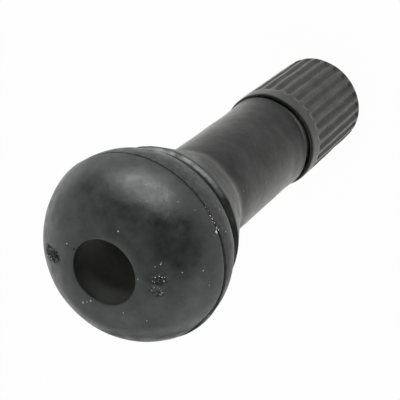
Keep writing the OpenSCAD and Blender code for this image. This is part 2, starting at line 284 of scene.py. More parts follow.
def ring_noise(angles, lowest, highest, count=40):
    """A random wave round the axis, about -1 to 1, with whole waves between two counts."""
    total = np.zeros(len(angles))
    for wave in rng.integers(lowest, highest + 1, count):
        total += np.cos(np.radians(angles) * wave + rng.uniform(0, 2 * math.pi))
    return total / math.sqrt(count / 2) / 2


def angle_gap(angles, middle):
    """Signed degrees from middle to each angle."""
    return (angles - middle + 180) % 360 - 180


def bell(x, width):
    """A smooth bump that falls from 1 at 0 to 0 at width."""
    return np.clip(1 - (x / width) ** 2, 0, 1) ** 2


def path_normals(path):
    """Unit normals to the right of the way along a closed path of (r, z) points."""
    ahead = np.roll(path, -1, 0) - np.roll(path, 1, 0)
    ahead /= np.maximum(np.linalg.norm(ahead, axis=1), TOUCH)[:, None]
    return np.stack([ahead[:, 1], -ahead[:, 0]], 1)


def grid_points(radii, heights, angles):
    """Points of a grid of rows along a profile and columns round the axis."""
    turn = np.radians(angles)
    heights = np.broadcast_to(heights, radii.shape)
    return np.stack([radii * np.cos(turn), radii * np.sin(turn), heights], -1)


def linked(name, data):
    """A new object of the given data, in the scene."""
    obj = bpy.data.objects.new(name, data)
    bpy.context.scene.collection.objects.link(obj)
    return obj


def smooth_object(name, verts, faces):
    """A new object with a smooth mesh of vertices in metres."""
    mesh = bpy.data.meshes.new(name)
    mesh.from_pydata(verts.tolist(), [], faces)
    mesh.polygons.foreach_set("use_smooth", np.ones(len(faces), bool))
    mesh.update()
    return linked(name, mesh)


def grid_object(name, points, closed):
    """A smooth closed mesh of rows round the axis. An open profile ends in a point at each end."""
    rows, columns = points.shape[:2]
    verts = points.reshape(-1, 3) * MM
    index = np.arange(rows * columns).reshape(rows, columns)
    below = index if closed else index[:-1]
    above = np.roll(index, -1, 0) if closed else index[1:]
    quads = np.stack([below, np.roll(below, -1, 1), np.roll(above, -1, 1), above], -1).reshape(-1, 4)
    faces = quads.tolist()
    if not closed:
        ends = np.array([[0, 0, points[0, 0, 2]], [0, 0, points[-1, 0, 2]]]) * MM
        verts = np.vstack([verts, ends])
        first, last = len(verts) - 2, len(verts) - 1
        for a, b in zip(range(columns), np.roll(np.arange(columns), -1).tolist()):
            faces.append([first, b, a])
            faces.append([last, int(index[-1, a]), int(index[-1, b])])
    return smooth_object(name, verts, faces)


def finished(obj, body, slot, material, *nodes):
    """Gives a piece its material and its body, and hides the solids that it stands for. The slot is not
    used.
    """
    obj.data.materials.append(material)
    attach(obj, body)
    if nodes:
        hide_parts(*nodes)
    return obj


# Materials

def node_material(name):
    """A new node material with its principled shader and object coordinates in millimetres."""
    material = bpy.data.materials.new(name)
    material.use_nodes = True
    tree = material.node_tree
    shader = tree.nodes["Principled BSDF"]
    coords = tree.nodes.new("ShaderNodeTexCoord")
    scale = tree.nodes.new("ShaderNodeMapping")
    scale.inputs["Scale"].default_value = (1 / MM, 1 / MM, 1 / MM)
    tree.links.new(coords.outputs["Object"], scale.inputs["Vector"])
    return material, tree, shader, scale.outputs["Vector"]


def noise(tree, vector, scale, detail=3.0, roughness=0.55):
    """A noise texture with the given scale per millimetre."""
    node = tree.nodes.new("ShaderNodeTexNoise")
    node.inputs["Scale"].default_value = scale
    node.inputs["Detail"].default_value = detail
    node.inputs["Roughness"].default_value = roughness
    tree.links.new(vector, node.inputs["Vector"])
    return node.outputs["Fac"]


def ramp(tree, value, stops):
    """A colour ramp through (place, grey or colour) stops."""
    node = tree.nodes.new("ShaderNodeValToRGB")
    band = node.color_ramp
    while len(band.elements) < len(stops):
        band.elements.new(0.5)
    for element, (place, colour) in zip(band.elements, stops):
        element.position = place
        element.color = (*colour, 1) if isinstance(colour, tuple) else (colour, colour, colour, 1)
    tree.links.new(value, node.inputs["Fac"])
    return node.outputs["Color"]


def bump(tree, heights, distance_mm, strength, normal=None):
    """A bump of the given height in millimetres, on top of another normal."""
    node = tree.nodes.new("ShaderNodeBump")
    node.inputs["Distance"].default_value = distance_mm * MM
    node.inputs["Strength"].default_value = strength
    tree.links.new(heights, node.inputs["Height"])
    if normal:
        tree.links.new(normal, node.inputs["Normal"])
    return node.outputs["Normal"]


def mixed(tree, amount, low, high):
    """A colour mix of two linked colours or constants by a linked amount."""
    node = tree.nodes.new("ShaderNodeMix")
    node.data_type = "RGBA"
    tree.links.new(amount, node.inputs["Factor"])
    for side, socket in ((low, node.inputs[6]), (high, node.inputs[7])):
        if isinstance(side, tuple):
            socket.default_value = (*side, 1)
        else:
            tree.links.new(side, socket)
    return node.outputs[2]


def maths(tree, operation, a, b):
    """A math node's result for two linked values or numbers."""
    node = tree.nodes.new("ShaderNodeMath")
    node.operation = operation
    for value, socket in zip((a, b), node.inputs):
        if isinstance(value, float):
            socket.default_value = value
        else:
            tree.links.new(value, socket)
    return node.outputs[0]


def specks(tree, vector, scale, size, share):
    """Sparse round specks, 1 on a speck and 0 elsewhere. Scale is cells per millimetre."""
    cells = tree.nodes.new("ShaderNodeTexVoronoi")
    cells.inputs["Scale"].default_value = scale
    tree.links.new(vector, cells.inputs["Vector"])
    apart = tree.nodes.new("ShaderNodeSeparateColor")
    tree.links.new(cells.outputs["Color"], apart.inputs["Color"])
    near = maths(tree, "LESS_THAN", cells.outputs["Distance"], size)
    chosen = maths(tree, "LESS_THAN", apart.outputs[0], share)
    return product(tree, near, chosen)


def stretch(tree, value, low, high, start, end):
    """The linked value, mapped from low to high onto start to end and held at both."""
    node = tree.nodes.new("ShaderNodeMapRange")
    for name, number in (("From Min", low), ("From Max", high), ("To Min", start), ("To Max", end)):
        node.inputs[name].default_value = number
    tree.links.new(value, node.inputs["Value"])
    return node.outputs["Result"]


def axes(tree, vector):
    """Distance from the valve's axis and height along it."""
    apart = tree.nodes.new("ShaderNodeSeparateXYZ")
    tree.links.new(vector, apart.inputs[0])
    flat = tree.nodes.new("ShaderNodeCombineXYZ")
    tree.links.new(apart.outputs["X"], flat.inputs["X"])
    tree.links.new(apart.outputs["Y"], flat.inputs["Y"])
    reach = tree.nodes.new("ShaderNodeVectorMath")
    reach.operation = "LENGTH"
    tree.links.new(flat.outputs[0], reach.inputs[0])
    return reach.outputs["Value"], apart.outputs["Z"]


def difference(tree, a, b):
    """One linked value less another."""
    return maths(tree, "SUBTRACT", a, b)


def greater(tree, a, b):
    """The greater of two linked values."""
    return maths(tree, "MAXIMUM", a, b)


def product(tree, *values):
    """Linked values multiplied together."""
    total = values[0]
    for value in values[1:]:
        total = maths(tree, "MULTIPLY", total, value)
    return total


def reach_towards(tree, vector, angle):
    """How far a point lies from the axis towards an angle in degrees round it."""
    node = tree.nodes.new("ShaderNodeVectorMath")
    node.operation = "DOT_PRODUCT"
    tree.links.new(vector, node.inputs[0])
    turn = math.radians(angle)
    node.inputs[1].default_value = (math.cos(turn), math.sin(turn), 0)
    return node.outputs["Value"]


# Colours of the rubber and of what lies on it
BLOOM_DARK, BLOOM_PALE = (0.0085, 0.0092, 0.0092), (0.031, 0.033, 0.033)
BACK_DARK, BACK_PALE = 0.028, 0.062
SLEEVE_BLACK = (0.004, 0.004, 0.004)
# Pale of the flare edge's scuffs, which also paints a highlight on their lit side
SCUFF_AND_HIGHLIGHT_PALE = (0.30, 0.31, 0.305)
SCAR_DARK, SCAR_PALE = (0.014, 0.0145, 0.0145), (0.16, 0.165, 0.16)
# Pale painted into the shade deep in the bore and on the tail in the cap's gap, a painted light
HOLLOW_PAINTED_LIGHT = (0.8, 0.8, 0.77)
RUBBER_SPECK = (0.20, 0.20, 0.195)
RUBBER_SHEEN_TINT = (0.99, 1.0, 0.95, 1)
RUBBER_GLOSS_TINT = (0.95, 1.0, 0.975, 1)

# Colours of the cap, with its flutes painted darker as shade, and the painted shade on the stem
RIB_DARK, RIB_PALE = (0.015, 0.015, 0.013), (0.036, 0.036, 0.031)
# The flutes' colours are darker than the ribs' as painted shade in the hollows
FLUTE_SHADE_DARK, FLUTE_SHADE_PALE = (0.005, 0.005, 0.0045), (0.010, 0.010, 0.009)
CAP_SPECK = (0.18, 0.18, 0.165)
# Painted shade on the stem where it lies in the cap's gap and down the bore
STEM_SHADE = (0.012, 0.011, 0.010)

# How soft the dusty sheen on the sleeve and the cap is
SHEEN_ROUGHNESS = 0.38

# Middles of the flare's scuffed stretch with its painted highlight and of the dome's side with painted
# shade, in degrees round the axis, and how far from the axis the painted shade starts and is full
SCUFF_HIGHLIGHT_AT = -60.0
SHADED_SIDE_AT = 140.0
SIDE_SHADE_FROM, SIDE_SHADE_FULL = 6.1, 7.0


def edge_scuffs_and_highlight(tree, vector):
    """Ragged pale scuffs along the flare's edge, where it rubs on a rim, kept mostly on its lit side as a
    painted highlight.
    """
    reach, height = axes(tree, vector)
    below = stretch(tree, height, EDGE_Z + 0.02, EDGE_Z + 0.2, 0.03, 1.0)
    outer = stretch(tree, reach, FLARE_R - FLARE_CHAMFER_W - 0.1, FLARE_R - FLARE_CHAMFER_W, 0.0, 1.0)
    top = EDGE_Z + FLARE_CHAMFER_H
    above = stretch(tree, height, top - 0.32, top - 0.14, 1.0, 0.0)
    # The pale is kept mostly on the side towards the key lamp, a painted highlight
    towards = reach_towards(tree, vector, SCUFF_HIGHLIGHT_AT)
    side = stretch(tree, towards, FLARE_R - 2.2, FLARE_R - 0.5, 0.03, 1.0)
    streaks = stretch(tree, noise(tree, vector, 1.6, 4.0, 0.6), 0.34, 0.64, 0.25, 1.0)
    return product(tree, below, above, outer, side, streaks)


def near_points(tree, vector, places):
    """The strength of the nearest (point, radius, strength) place, and 0 past its ragged border."""
    total = None
    ragged = stretch(tree, noise(tree, vector, 2.5, 3.0), 0.2, 0.8, -0.35, 0.35)
    for point, radius, strength in places:
        apart = tree.nodes.new("ShaderNodeVectorMath")
        apart.operation = "DISTANCE"
        tree.links.new(vector, apart.inputs[0])
        apart.inputs[1].default_value = point
        reach = difference(tree, apart.outputs["Value"], ragged)
        share = stretch(tree, reach, radius * 0.75, radius * 1.05, strength, 0.0)
        total = share if total is None else greater(tree, total, share)
    return total


def worn_rubber(tree, mm, reach, height):
    """The rubber's cloudy bloom, with a rubbed back, a scuffed edge with a painted highlight and a blacker
    sleeve.
    """
    bloom = noise(tree, mm, 0.5, 5.0, 0.62)
    colour = ramp(tree, bloom, [(0.36, BLOOM_DARK), (0.66, BLOOM_PALE)])
    rubbed = ramp(tree, noise(tree, mm, 2.0, 4.0, 0.65), [(0.3, BACK_DARK), (0.7, BACK_PALE)])
    on_back = product(
        tree,
        stretch(tree, height, BACK_Z - 0.2, BACK_Z + 0.2, 0.0, 1.0),
        stretch(tree, height, PARTING_Z - 0.15, PARTING_Z, 1.0, 0.0),
        stretch(tree, reach, GROOVE_R + 0.5, GROOVE_R + 0.8, 0.0, 1.0),
    )
    colour = mixed(tree, on_back, colour, rubbed)
    colour = mixed(tree, edge_scuffs_and_highlight(tree, mm), colour, SCUFF_AND_HIGHLIGHT_PALE)
    on_sleeve = stretch(tree, height, FLARE_Z - 2, FLARE_Z + 2, 0.42, 0.0)
    return mixed(tree, on_sleeve, colour, SLEEVE_BLACK)


def scarred(tree, mm, colour, scars):
    """The colour with dark scars, and with pale streaks in the shallow ones."""
    colour = mixed(tree, scars, colour, SCAR_DARK)
    streaks = stretch(tree, noise(tree, mm, 3.2, 3.0, 0.6), 0.52, 0.62, 0.0, 0.55)
    shallow = stretch(tree, scars, 0.75, 1.0, 1.0, 0.15)
    return mixed(tree, product(tree, scars, streaks, shallow), colour, SCAR_PALE)


def specks_and_painted_light(tree, mm, colour, height, in_bore):
    """The colour painted paler deep in the bore and on the tail in the cap's gap, a painted light in their
    shade, and with a few dust specks all over.
    """
    # Paler deeper in the bore and on the tail in the cap's gap, a painted light in their shade
    deep = stretch(tree, height, FACE_Z - 5, FACE_Z - 0.3, 0.42, 0.0)
    colour = mixed(tree, product(tree, in_bore, deep), colour, HOLLOW_PAINTED_LIGHT)
    gap = stretch(tree, height, SLEEVE_Z - 0.9, SLEEVE_Z - 0.5, 0.18, 0.0)
    colour = mixed(tree, gap, colour, HOLLOW_PAINTED_LIGHT)
    return mixed(tree, specks(tree, mm, 1.3, 0.09, 0.05), colour, RUBBER_SPECK)


def rubber_gloss(tree, mm, height, hollows):
    """How much the rubber mirrors: most on the dome, less on one side as painted shade, in its hollows and
    below it.
    """
    gloss = stretch(tree, height, PARTING_Z - 0.05, PARTING_Z + 0.5, 0.09, 0.6)
    matt = stretch(tree, hollows, 0.0, 1.0, 1.0, 0.5)
    # One side mirrors less, a painted shade on that side's rim
    painted_shade_side = stretch(tree, reach_towards(tree, mm, SHADED_SIDE_AT), SIDE_SHADE_FROM, SIDE_SHADE_FULL, 1.0, 0.15)
    return product(tree, gloss, matt, painted_shade_side)


def sleeve_sheen(tree, reach, height):
    """A dust sheen, strong on the sleeve and weak on the flare, that stops at the flare's edge."""
    sheen = stretch(tree, height, FLARE_Z - 2.5, FLARE_Z + 1.5, 0.82, 0.15)
    below_edge = stretch(tree, height, EDGE_Z - 0.3, EDGE_Z, 1.0, 0.0)
    past_end = stretch(tree, reach, SLEEVE_WAIST_R - 0.25, SLEEVE_WAIST_R - 0.05, 0.0, 1.0)
    past_round = stretch(tree, height, SLEEVE_Z + 0.1, SLEEVE_Z + 1.2, 0.3, 1.0)
    return product(tree, sheen, below_edge, past_end, past_round)


def rubber_material():
    """Moulded black rubber: bloom, smears, a fine grain, scuffs with a painted highlight, matt scars and
    painted light in the hollows.
    """
    material, tree, shader, mm = node_material("moulded_rubber")
    reach, height = axes(tree, mm)
    scars = near_points(tree, mm, scar_places())
    in_bore = stretch(tree, reach, BORE_R + 0.02, BORE_R + 0.06, 1.0, 0.0)
    colour = scarred(tree, mm, worn_rubber(tree, mm, reach, height), scars)
    tree.links.new(specks_and_painted_light(tree, mm, colour, height, in_bore), shader.inputs["Base Color"])
    smears = noise(tree, mm, 0.9, 3.0, 0.55)
    tree.links.new(ramp(tree, smears, [(0.36, 0.30), (0.64, 0.45)]), shader.inputs["Roughness"])
    waves = bump(tree, noise(tree, mm, 0.6, 3.0, 0.5), 0.07, 0.5)
    blotches = bump(tree, noise(tree, mm, 1.3, 3.0, 0.55), 0.035, 0.5, waves)
    grain = bump(tree, noise(tree, mm, 9.0, 4.0), 0.012, 0.35, blotches)
    tree.links.new(grain, shader.inputs["Normal"])
    gloss = rubber_gloss(tree, mm, height, greater(tree, scars, in_bore))
    tree.links.new(gloss, shader.inputs["Specular IOR Level"])
    tree.links.new(sleeve_sheen(tree, reach, height), shader.inputs["Sheen Weight"])
    shader.inputs["Sheen Tint"].default_value = RUBBER_SHEEN_TINT
    shader.inputs["Sheen Roughness"].default_value = SHEEN_ROUGHNESS
    shader.inputs["Specular Tint"].default_value = RUBBER_GLOSS_TINT
    return material


def cap_material():
    """Moulded black plastic, warmer than the rubber, blotchy on its ribs and painted darker in its flutes
    as shade.
    """
    material, tree, shader, mm = node_material("cap_plastic")
    reach, height = axes(tree, mm)
    outside = stretch(tree, height, CAP_END_Z, FLUTES_TOP_Z, CAP_END_R, CAP_R)
    # Deeper into a flute the colour goes darker, a painted shade
    sunk = stretch(tree, difference(tree, outside, reach), 0.07, 0.23, 0.0, 1.0)
    blotches = noise(tree, mm, 0.8, 4.0)
    rib = ramp(tree, blotches, [(0.3, RIB_DARK), (0.7, RIB_PALE)])
    flute_shade = ramp(tree, blotches, [(0.3, FLUTE_SHADE_DARK), (0.7, FLUTE_SHADE_PALE)])
    dust = specks(tree, mm, 1.1, 0.1, 0.04)
    worn = mixed(tree, sunk, rib, flute_shade)
    tree.links.new(mixed(tree, dust, worn, CAP_SPECK), shader.inputs["Base Color"])
    smears = noise(tree, mm, 1.5)
    tree.links.new(ramp(tree, smears, [(0.3, 0.38), (0.7, 0.52)]), shader.inputs["Roughness"])
    waves = bump(tree, noise(tree, mm, 1.2, 2.0), 0.04, 0.4)
    grain = bump(tree, noise(tree, mm, 12.0, 4.0), 0.012, 0.4, waves)
    tree.links.new(grain, shader.inputs["Normal"])
    shader.inputs["Specular IOR Level"].default_value = 0.36
    shader.inputs["Sheen Weight"].default_value = 0.60
    shader.inputs["Sheen Roughness"].default_value = SHEEN_ROUGHNESS
    return material


def crumb_material():
    """Pale grey dust and torn rubber."""
    material, tree, shader, mm = node_material("pale_crumbs")
    shade = ramp(tree, noise(tree, mm, 9.0), [(0.3, 0.45), (0.7, 0.75)])
    tree.links.new(shade, shader.inputs["Base Color"])
    shader.inputs["Roughness"].default_value = 0.6
    tree.links.new(bump(tree, noise(tree, mm, 20.0), 0.01, 0.4), shader.inputs["Normal"])
    return material


def metal_material(name, dark, light, roughness, turning_scale, shade_z=FAR_AWAY):
    """Turned or drawn metal with fine rings round the axis, slight tarnish and painted shade above a
    height.
    """
    material, tree, shader, mm = node_material(name)
    shader.inputs["Metallic"].default_value = 1.0
    tarnish = ramp(tree, noise(tree, mm, 0.9), [(0.3, dark), (0.7, light)])
    _, height = axes(tree, mm)
    # Above the given height the metal is painted dark as shade
    painted_shade = stretch(tree, height, shade_z - 0.4, shade_z + 0.4, 0.0, 1.0)
    tree.links.new(mixed(tree, painted_shade, tarnish, STEM_SHADE), shader.inputs["Base Color"])
    low, high = roughness
    tree.links.new(ramp(tree, noise(tree, mm, 2.2), [(0.3, low), (0.7, high)]), shader.inputs["Roughness"])
    lengthwise = tree.nodes.new("ShaderNodeMapping")
    lengthwise.inputs["Scale"].default_value = (0.05, 0.05, 1)
    tree.links.new(mm, lengthwise.inputs["Vector"])
    rings = noise(tree, lengthwise.outputs["Vector"], turning_scale, 2.0)
    tree.links.new(bump(tree, rings, 0.006, 0.5), shader.inputs["Normal"])
    return material


def soft_material(name, dark, light, roughness):
    """A dull soft solid, such as a seal, with cloudy colour and a fine grain."""
    material, tree, shader, mm = node_material(name)
    shade = ramp(tree, noise(tree, mm, 1.1), [(0.3, dark), (0.7, light)])
    tree.links.new(shade, shader.inputs["Base Color"])
    low, high = roughness
    tree.links.new(ramp(tree, noise(tree, mm, 3.0), [(0.3, low), (0.7, high)]), shader.inputs["Roughness"])
    tree.links.new(bump(tree, noise(tree, mm, 9.0, 4.0), 0.01, 0.4), shader.inputs["Normal"])
    return material


# Rubber body

# Stretches of the parting line, in degrees round the axis
CLOSED_AT, CLOSED_HALF = -84.5, 2.6
TORN_AT, TORN_HALF = -105.0, 11.0
WORN_AT, WORN_HALF = -165.0, 65.0

# How far open the crack is: as a rule, how uneven, more where worn, less where torn, and at most
CRACK_OPEN, CRACK_UNEVEN, CRACK_OPEN_WORN, CRACK_SHUT_TORN, CRACK_OPEN_MOST = 0.95, 0.35, 0.6, 0.5, 1.4

# Relief of the parting line: the crack, the dome's lip over it and the torn bits. A worn stretch adds
# to the crack's half width and to the lip's depth.
CRACK_DEPTH, CRACK_HALF, CRACK_HALF_WORN = 0.26, 0.17, 0.2
LIP_DEPTH, LIP_DEPTH_WORN, LIP_ABOVE, LIP_HALF = 0.02, 0.07, 0.1, 0.4
TEAR_DEPTH, TEAR_ABOVE, TEAR_HALF = 0.14, 0.12, 0.2

# Relief of the bulb's ragged back edge and of the thin line just below the flare's edge
RAGGED_DEPTH, RAGGED_REACH = 0.06, 0.45
LINE_DEPTH, LINE_REACH, LINE_INSET, LINE_BELOW = 0.09, 0.16, 0.03, 0.1

# Slow waves over all the moulded surface
MOULD_WAVE_DEPTH, MOULD_WAVE_LENGTH = 0.02, 5.0

# Where the crack climbs over the dome's side: degrees past CRACK_CLIMB_AT, and millimetres of lift
CRACK_CLIMB_AT = -178.0
CRACK_CLIMB = (-45, -20, 0, 4, 8, 12, 17, 23, 29, 35)
CRACK_LIFTS = (0.0, 0.7, 1.0, 0.95, 0.85, 0.62, 0.36, 0.18, 0.06, 0.0)

# The sleeve's end is cut a little askew: middle shift, swing and the angle where its gap is widest
END_SHIFT, END_SWING, END_WIDEST_AT = -0.38, 0.45, -165.0
END_REACH = 4.0

# Rough scars on the face: angle, radius, half the size along the radius and round the axis, and strength
SCARS = (
    (43.5, 6.0, 1.4, 0.95, 1.0),
    (-131.0, 5.6, 0.8, 0.55, 0.75),
    (-143.5, 5.3, 0.8, 0.6, 0.4),
)
SCAR_DEPTH, SCAR_ROUGHNESS = 0.12, 0.15

# Spacing of the rubber's columns in degrees: plain, at fine detail, and the least that is kept
COLUMN_STEP, FINE_COLUMN_STEP, LEAST_COLUMN_STEP = 2.6, 0.5, 0.22

# Height on either side of the parting line that gets close rows
NEAR_PARTING = 0.5


def scar_places():
    """Points, radii and strengths of the balls that cover the scars, two for each."""
    places = []
    for angle, radius, along, across, strength in SCARS:
        for shift in (across - along, along - across):
            places.append((bulb_point(angle, radius=radius + shift), across, strength))
    return places


def sleeve_path():
    """The sleeve, from the tail over its rounded end and its waist to the flare's edge."""
    return rounded_path([
        (TAIL_R, SLEEVE_Z, 0),
        (SLEEVE_END_R, SLEEVE_Z, SLEEVE_END_ROUND),
        (SLEEVE_WAIST_R, SLEEVE_Z + SLEEVE_WAIST_H, WAIST_BLEND),
        (SLEEVE_TOP_R, FLARE_Z, FLARE_BLEND),
        (FLARE_R, EDGE_Z, 0),
    ])


def groove_path(back_start):
    """The flare's chamfer, the rim groove and the bulb's worn back edge, up to a point of the back."""
    return rounded_path([
        (FLARE_R, EDGE_Z, 0),
        (FLARE_R - FLARE_CHAMFER_W, EDGE_Z + FLARE_CHAMFER_H, FLARE_EDGE_ROUND),
        (GROOVE_R, GROOVE_Z, GROOVE_FILLET),
        (GROOVE_R, GROOVE_TOP_Z + BACK_EDGE_RISE, GROOVE_FILLET),
        (BACK_R - BACK_EDGE_INSET, BACK_Z + BACK_EDGE_RISE, BACK_EDGE_ROUND),
        (*back_start, 0),
    ])


def rubber_profile():
    """The rubber's closed profile and its zones, with close rows where it has fine detail."""
    dome = dome_path()
    scars_from_r = max(radius + along for _, radius, along, *_ in SCARS)
    scars_to_r = min(radius - along for _, radius, along, *_ in SCARS)
    scars = np.searchsorted(-dome[:, 0], [-scars_from_r, -scars_to_r])
    side = np.searchsorted(dome[:, 1], PARTING_Z + max(CRACK_LIFTS) + NEAR_PARTING)
    back = back_path()
    under = np.searchsorted(back[:, 1], PARTING_Z - NEAR_PARTING)
    edge = np.searchsorted(back[:, 1], BACK_Z + BACK_EDGE_RISE + BACK_EDGE_BLEND)
    tail = np.array([(THREAD_R, TAIL_Z), (TAIL_R, TAIL_Z), (TAIL_R, SLEEVE_Z)])
    sleeve = sleeve_path()
    waist = 1 + ARC_POINTS
    waist_end = 2 * ARC_POINTS
    mouth = round_corner((BULB_R, FACE_Z), (BORE_R, FACE_Z), (BORE_R, FOOT_Z), BORE_ROUND)
    bore = np.array([(BORE_R, FACE_Z - BORE_ROUND), (BORE_R, FOOT_Z)])
    floor = np.array([(BORE_R, FOOT_Z), (FOOT_R, FOOT_Z)])

    # Each stretch has the spacing of its own rows
    rows, zones = labelled(
        ("tail", resample(tail[:2], 0.15)),
        ("tail", resample(tail[1:], 0.2)),
        ("end", resample(sleeve[:waist + 1], 0.1)),
        ("sleeve", resample(sleeve[waist:waist_end + 1], 0.3)),
        ("flare", resample(sleeve[waist_end:], 0.2)),
        ("groove", resample(groove_path(back[edge]), 0.08)),
        ("back", resample(back[edge:under + 1], 0.16)),
        ("back", resample(back[under:], 0.03)),
        ("dome", resample(dome[:side + 1], 0.05)),
        ("dome", resample(dome[side:scars[0] + 1], 0.14)),
        ("dome", resample(dome[scars[0]:scars[1] + 1], 0.055)),
        ("dome", resample(dome[scars[1]:], 0.14)),
        ("mouth", mouth),
        ("bore", resample(bore, 0.7)),
        ("hidden", resample(floor, 0.6)),
        ("hidden", resample(stem_outside_path()[::-1], 1.5)),
    )
    return rows[:-1], zones[:-1]


def rubber_columns():
    """Angles round the rubber, closer together at the scars and along the torn parting line."""
    angles = [np.arange(-180, 180, COLUMN_STEP)]
    for middle, radius, _, across, _ in SCARS:
        reach = math.degrees(across / radius)
        angles.append(np.arange(middle - reach, middle + reach, FINE_COLUMN_STEP))
    angles.append(np.arange(TORN_AT - TORN_HALF, TORN_AT + TORN_HALF, FINE_COLUMN_STEP))
    merged = np.sort(np.concatenate(angles))
    return merged[np.concatenate([[True], np.diff(merged) > LEAST_COLUMN_STEP])]


def parting_relief(rows, zones, angles):
    """The crack along the parting line, the dome's worn lip over it and the torn stretch."""
    lift = np.interp(angle_gap(angles, CRACK_CLIMB_AT), CRACK_CLIMB, CRACK_LIFTS)
    above = rows[:, 1:] - PARTING_Z - lift
    on_bulb = np.isin(zones, ("back", "dome"))[:, None]
    worn = bell(angle_gap(angles, WORN_AT), WORN_HALF)
    torn = bell(angle_gap(angles, TORN_AT), TORN_HALF)
    open_share = CRACK_OPEN + CRACK_UNEVEN * ring_noise(angles, 5, 60)
    open_share += CRACK_OPEN_WORN * worn - CRACK_SHUT_TORN * torn
    open_share *= 1 - bell(angle_gap(angles, CLOSED_AT), CLOSED_HALF)
    crack = CRACK_DEPTH * np.clip(open_share, 0, CRACK_OPEN_MOST)
    crack = crack * bell(above, CRACK_HALF + CRACK_HALF_WORN * worn)
    lip = (LIP_DEPTH + LIP_DEPTH_WORN * worn) * bell(above - LIP_ABOVE, LIP_HALF) * (above > 0)
    tears = np.clip(ring_noise(angles, 60, 300, 80), 0, 1) * torn * bell(above - TEAR_ABOVE, TEAR_HALF)
    return -(crack + lip + TEAR_DEPTH * tears) * on_bulb


def edge_relief(rows, angles):
    """The bulb's ragged back edge and the thin line along the flare's edge."""
    radii, heights = rows[:, :1], rows[:, 1:]
    ragged = ring_noise(angles, 40, 220, 80) + 0.6 * ring_noise(angles, 8, 30)
    edge_r, edge_z = BACK_R - BACK_EDGE_INSET, BACK_Z + BACK_EDGE_RISE
    back_edge = bell(np.hypot(radii - edge_r, heights - edge_z), RAGGED_REACH)
    line = 0.8 + 0.4 * ring_noise(angles, 6, 50)
    flare_edge = bell(np.hypot(radii - FLARE_R + LINE_INSET, heights - EDGE_Z + LINE_BELOW), LINE_REACH)
    relief = RAGGED_DEPTH * np.clip(ragged, -0.4, 1) * back_edge
    return -relief - LINE_DEPTH * np.clip(line, 0, 1) * flare_edge


def end_shift(rows, angles):
    """How far the rows near the sleeve's free end are moved up the sleeve."""
    swing = END_SHIFT + END_SWING * np.cos(np.radians(angles - END_WIDEST_AT))
    near_end = bell(np.clip(rows[:, 1:] - SLEEVE_Z, 0, None), END_REACH)
    return swing * near_end * (rows[:, 1:] > SLEEVE_Z - TOUCH)


def scar_share(radii, angles, scar):
    """1 in the middle of a scar, falling to 0 at its border."""
    middle, radius, along, across, _ = scar
    round_axis = np.radians(angle_gap(angles, middle)) * radius
    return bell(np.hypot((radii - radius) / along, round_axis / across), 1.0)


def scar_relief(rows, zones, angles, points):
    """Shallow dishes with a torn floor, where the mould's feed was pulled off."""
    rough = smooth_noise(points, 0.34, 40) + 0.5 * smooth_noise(points, 0.8, 30)
    relief = np.zeros(points.shape[:-1])
    for scar in SCARS:
        dish = np.sqrt(scar_share(rows[:, :1], angles, scar))
        relief -= scar[-1] * (SCAR_DEPTH + SCAR_ROUGHNESS * rough) * dish
    return relief * (zones == "dome")[:, None]


def rubber_body(material):
    """The moulded body in one piece, with all its relief."""
    rows, zones = rubber_profile()
    angles = rubber_columns()
    normals = path_normals(rows)
    points = grid_points(np.repeat(rows[:, :1], len(angles), 1), rows[:, 1:], angles)
    moulded = np.isin(zones, ("sleeve", "flare", "back", "dome"))[:, None]
    relief = MOULD_WAVE_DEPTH * smooth_noise(points, MOULD_WAVE_LENGTH) * moulded
    relief += parting_relief(rows, zones, angles)
    relief += edge_relief(rows, angles)
    relief += scar_relief(rows, zones, angles, points)
    radii = rows[:, :1] + normals[:, :1] * relief
    heights = rows[:, 1:] + normals[:, 1:] * relief + end_shift(rows, angles)
    points = grid_points(np.minimum(radii, BULB_LIMIT), np.clip(heights, TAIL_Z, FACE_Z), angles)
    obj = grid_object("rubber_body_moulded", points, True)
    return finished(obj, "valve", "rubber", material, "rubber_body")


# Crumbs: pale bits of dust and torn rubber on the bulb

# Angle, radius and size of single specks on the dome
DOME_SPECKS = (
    (18, 4.4, 0.13), (17, 3.6, 0.13), (-64, 4.8, 0.10), (102, 4.5, 0.13), (110, 3.7, 0.11),
    (162, 4.2, 0.08), (-64, 8.6, 0.07), (-71, 7.9, 0.06), (-85, 8.9, 0.07), (-127, 7.4, 0.08),
    (-130, 8.6, 0.10), (179, 5.9, 0.09), (-132, 3.6, 0.10), (106, 4.1, 0.08), (17, 3.5, 0.12),
    (-141, 8.9, 0.09), (-116, 6.0, 0.11), (-115, 6.1, 0.08), (-117, 5.5, 0.07), (-128, 5.3, 0.12),
    (-132, 6.0, 0.12),
)
# Angle, height over the parting line and size of the bits left along it
PARTING_NIBS = (
    (-112, 0.35, 0.26), (-110, 0.05, 0.13), (-107, 0.10, 0.12), (-104.5, 0.10, 0.13),
    (-102.5, 0.15, 0.10), (-112, -0.15, 0.11), (-116, -1.25, 0.11), (-103.5, -1.95, 0.08),
    (-99.5, 0.05, 0.08), (-97, 0.10, 0.07), (-106, 0.20, 0.09), (-110.5, 0.15, 0.10),
)
# Flecks in a scar: their number, which falls to none at a strength that no scar has, their reach as a
# share of the scar's and their range of sizes
FLECKS_PER_SCAR = 14
FLECKLESS_STRENGTH = 1.2
FLECK_REACH = 0.8
FLECK_SIZES = (0.04, 0.09)

# A crumb's range of lengths and its height beside its width, its tilt in radians and its unevenness
CRUMB_LENGTHS = (1.0, 1.9)
CRUMB_HEIGHT = 0.8
CRUMB_TILT = 0.5
CRUMB_UNEVENNESS = 0.25


